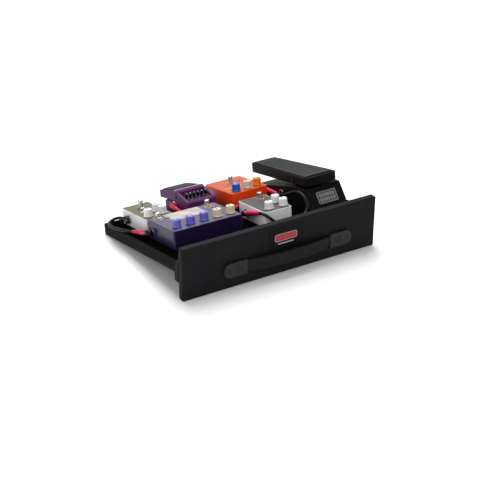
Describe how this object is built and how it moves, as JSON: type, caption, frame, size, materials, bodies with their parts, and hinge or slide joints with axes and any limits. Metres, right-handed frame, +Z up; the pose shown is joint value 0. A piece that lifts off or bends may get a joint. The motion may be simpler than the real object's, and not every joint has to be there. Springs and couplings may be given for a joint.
{
  "type": "pedalboard",
  "caption": "Rack-width sloping board behind an upright handled panel, carrying effects pedals with turning knobs, foot buttons, rocking treadles and patch leads.",
  "frame": {"origin": "middle of the underside of the front panel, on the ground", "axes": "+Z up; +X to the right along the panel as seen from its handle side; +Y from the panel to the low edge of the board"},
  "size_m": [0.4919, 0.3984, 0.1419],
  "materials": {
    "black_vinyl": "fine-grained textured vinyl over wood",
    "loop_carpet": "short loop pile",
    "cap_plastic": "satin moulded",
    "strap_rubber": "matt moulded",
    "grey_enamel": "satin enamel, olive top plate",
    "purple_enamel": "satin metallic enamel",
    "silver_metal": "brushed, dark top",
    "orange_enamel": "satin enamel",
    "violet_enamel": "metallic enamel",
    "wah_enamel": "crinkle enamel",
    "pad_rubber": "ribbed",
    "knob_white": "moulded",
    "knob_cream": "moulded",
    "knob_blue": "moulded",
    "knob_orange": "moulded",
    "knob_periwinkle": "moulded",
    "nickel": "polished nickel",
    "pin_steel": "turned",
    "black_plastic": "moulded",
    "plug_crimson": "soft moulded",
    "cord_rubber": "satin jacket"
  },
  "bodies": {
    "board": {"front_panel": "black_vinyl", "panel_cleat": "black_vinyl", "deck_board": "black_vinyl", "side_rail_left": "black_vinyl", "side_rail_right": "black_vinyl", "rear_rail": "black_vinyl", "deck_carpet": "loop_carpet", "handle_cap_left": "cap_plastic", "handle_cap_right": "cap_plastic", "handle_strap": "strap_rubber", "white_pedal_shell": "grey_enamel", "purple_pedal_shell": "purple_enamel", "silver_pedal_shell": "silver_metal", "orange_pedal_shell": "orange_enamel", "eq_pedal_case": "violet_enamel", "eq_hinge_pin": "pin_steel", "wah_housing": "wah_enamel", "wah_pivot_pin": "pin_steel", "lead_white_purple_plug_1": "black_plastic", "lead_white_purple_plug_2": "plug_crimson", "lead_white_purple_cord": "cord_rubber", "lead_orange_silver_plug_1": "plug_crimson", "lead_orange_silver_plug_2": "plug_crimson", "lead_orange_silver_cord": "cord_rubber", "lead_purple_silver_plug_1": "plug_crimson", "lead_purple_silver_plug_2": "black_plastic", "lead_purple_silver_cord": "cord_rubber", "lead_white_eq_plug_1": "black_plastic", "lead_white_eq_plug_2": "plug_crimson", "lead_white_eq_cord": "cord_rubber"},
    "white_knob_1": {"white_knob_1": "knob_white"},
    "white_knob_2": {"white_knob_2": "knob_white"},
    "white_knob_3": {"white_knob_3": "knob_white"},
    "white_foot_button_1": {"white_foot_button_1": "nickel"},
    "purple_knob_1": {"purple_knob_1": "knob_periwinkle"},
    "purple_knob_2": {"purple_knob_2": "knob_periwinkle"},
    "purple_knob_3": {"purple_knob_3": "knob_periwinkle"},
    "purple_knob_4": {"purple_knob_4": "knob_cream"},
    "purple_knob_5": {"purple_knob_5": "knob_cream"},
    "purple_foot_button_1": {"purple_foot_button_1": "nickel"},
    "purple_foot_button_2": {"purple_foot_button_2": "nickel"},
    "silver_knob_1": {"silver_knob_1": "knob_white"},
    "silver_knob_2": {"silver_knob_2": "knob_white"},
    "silver_knob_3": {"silver_knob_3": "knob_white"},
    "silver_foot_button_1": {"silver_foot_button_1": "nickel"},
    "orange_knob_1": {"orange_knob_1": "knob_blue"},
    "orange_knob_2": {"orange_knob_2": "knob_cream"},
    "orange_knob_3": {"orange_knob_3": "knob_orange"},
    "orange_foot_button_1": {"orange_foot_button_1": "nickel"},
    "eq_treadle": {"eq_treadle": "violet_enamel", "eq_rubber_pad": "pad_rubber", "eq_thumbscrew": "black_plastic"},
    "eq_slider_1": {"eq_slider_1": "black_plastic"},
    "eq_slider_2": {"eq_slider_2": "black_plastic"},
    "eq_slider_3": {"eq_slider_3": "black_plastic"},
    "eq_slider_4": {"eq_slider_4": "black_plastic"},
    "eq_slider_5": {"eq_slider_5": "black_plastic"},
    "eq_slider_6": {"eq_slider_6": "black_plastic"},
    "wah_treadle": {"wah_treadle": "wah_enamel", "wah_rubber_pad": "pad_rubber"}
  },
  "joints": [
    {"name": "white_knob_1_turn", "type": "hinge", "parent": "board", "child": "white_knob_1", "pos_m": [-0.1945, 0.22549, 0.0897], "axis": [0, 0.1707, 0.9853], "range_deg": [-150, 150]},
    {"name": "white_knob_2_turn", "type": "hinge", "parent": "board", "child": "white_knob_2", "pos_m": [-0.1595, 0.22549, 0.0897], "axis": [0, 0.1707, 0.9853], "range_deg": [-150, 150]},
    {"name": "white_knob_3_turn", "type": "hinge", "parent": "board", "child": "white_knob_3", "pos_m": [-0.1625, 0.24766, 0.08586], "axis": [0, 0.1707, 0.9853], "range_deg": [-150, 150]},
    {"name": "white_foot_button_1_press", "type": "slide", "parent": "board", "child": "white_foot_button_1", "axis": [0, -0.1707, -0.9853], "range_m": [0, 0.002], "stiffness_N_per_m": 4000, "springref_m": -0.0015},
    {"name": "purple_knob_1_turn", "type": "hinge", "parent": "board", "child": "purple_knob_1", "pos_m": [-0.193, 0.1003, 0.11697], "axis": [0, 0.1707, 0.9853], "range_deg": [-150, 150]},
    {"name": "purple_knob_2_turn", "type": "hinge", "parent": "board", "child": "purple_knob_2", "pos_m": [-0.16, 0.1003, 0.11697], "axis": [0, 0.1707, 0.9853], "range_deg": [-150, 150]},
    {"name": "purple_knob_3_turn", "type": "hinge", "parent": "board", "child": "purple_knob_3", "pos_m": [-0.1275, 0.1003, 0.11697], "axis": [0, 0.1707, 0.9853], "range_deg": [-150, 150]},
    {"name": "purple_knob_4_turn", "type": "hinge", "parent": "board", "child": "purple_knob_4", "pos_m": [-0.0945, 0.1003, 0.11697], "axis": [0, 0.1707, 0.9853], "range_deg": [-150, 150]},
    {"name": "purple_knob_5_turn", "type": "hinge", "parent": "board", "child": "purple_knob_5", "pos_m": [-0.0625, 0.1003, 0.11697], "axis": [0, 0.1707, 0.9853], "range_deg": [-150, 150]},
    {"name": "purple_foot_button_1_press", "type": "slide", "parent": "board", "child": "purple_foot_button_1", "axis": [0, -0.1707, -0.9853], "range_m": [0, 0.002], "stiffness_N_per_m": 4000, "springref_m": -0.0015},
    {"name": "purple_foot_button_2_press", "type": "slide", "parent": "board", "child": "purple_foot_button_2", "axis": [0, -0.1707, -0.9853], "range_m": [0, 0.002], "stiffness_N_per_m": 4000, "springref_m": -0.0015},
    {"name": "silver_knob_1_turn", "type": "hinge", "parent": "board", "child": "silver_knob_1", "pos_m": [0.02017, 0.07723, 0.11539], "axis": [0, 0.1707, 0.9853], "range_deg": [-150, 150]},
    {"name": "silver_knob_2_turn", "type": "hinge", "parent": "board", "child": "silver_knob_2", "pos_m": [0.05513, 0.07573, 0.11565], "axis": [0, 0.1707, 0.9853], "range_deg": [-150, 150]},
    {"name": "silver_knob_3_turn", "type": "hinge", "parent": "board", "child": "silver_knob_3", "pos_m": [0.05499, 0.10631, 0.11035], "axis": [0, 0.1707, 0.9853], "range_deg": [-150, 150]},
    {"name": "silver_foot_button_1_press", "type": "slide", "parent": "board", "child": "silver_foot_button_1", "axis": [0, -0.1707, -0.9853], "range_m": [0, 0.002], "stiffness_N_per_m": 4000, "springref_m": -0.0015},
    {"name": "orange_knob_1_turn", "type": "hinge", "parent": "board", "child": "orange_knob_1", "pos_m": [0.03767, 0.24043, 0.08813], "axis": [0, 0.1707, 0.9853], "range_deg": [-150, 150]},
    {"name": "orange_knob_2_turn", "type": "hinge", "parent": "board", "child": "orange_knob_2", "pos_m": [0.06915, 0.24162, 0.08792], "axis": [0, 0.1707, 0.9853], "range_deg": [-150, 150]},
    {"name": "orange_knob_3_turn", "type": "hinge", "parent": "board", "child": "orange_knob_3", "pos_m": [0.09651, 0.24562, 0.08723], "axis": [0, 0.1707, 0.9853], "range_deg": [-150, 150]},
    {"name": "orange_foot_button_1_press", "type": "slide", "parent": "board", "child": "orange_foot_button_1", "axis": [0, -0.1707, -0.9853], "range_m": [0, 0.002], "stiffness_N_per_m": 4000, "springref_m": -0.0015},
    {"name": "eq_treadle_press", "type": "hinge", "parent": "board", "child": "eq_treadle", "pos_m": [-0.0545, 0.29062, 0.08491], "axis": [-1, 0, 0], "range_deg": [0, 2], "stiffness_Nm_per_rad": 30, "springref_deg": -1.72},
    {"name": "eq_slider_1_slide", "type": "slide", "parent": "board", "child": "eq_slider_1", "axis": [0, 0.9999, 0.0124], "range_m": [-0.011, 0.011]},
    {"name": "eq_slider_2_slide", "type": "slide", "parent": "board", "child": "eq_slider_2", "axis": [0, 0.9999, 0.0124], "range_m": [-0.011, 0.011]},
    {"name": "eq_slider_3_slide", "type": "slide", "parent": "board", "child": "eq_slider_3", "axis": [0, 0.9999, 0.0124], "range_m": [-0.011, 0.011]},
    {"name": "eq_slider_4_slide", "type": "slide", "parent": "board", "child": "eq_slider_4", "axis": [0, 0.9999, 0.0124], "range_m": [-0.011, 0.011]},
    {"name": "eq_slider_5_slide", "type": "slide", "parent": "board", "child": "eq_slider_5", "axis": [0, 0.9999, 0.0124], "range_m": [-0.011, 0.011]},
    {"name": "eq_slider_6_slide", "type": "slide", "parent": "board", "child": "eq_slider_6", "axis": [0, 0.9999, 0.0124], "range_m": [-0.011, 0.011]},
    {"name": "wah_treadle_rock", "type": "hinge", "parent": "board", "child": "wah_treadle", "pos_m": [0.17524, 0.15825, 0.11759], "axis": [-0.9999, -0.0163, 0.0028], "range_deg": [-5, 8]}
  ]
}
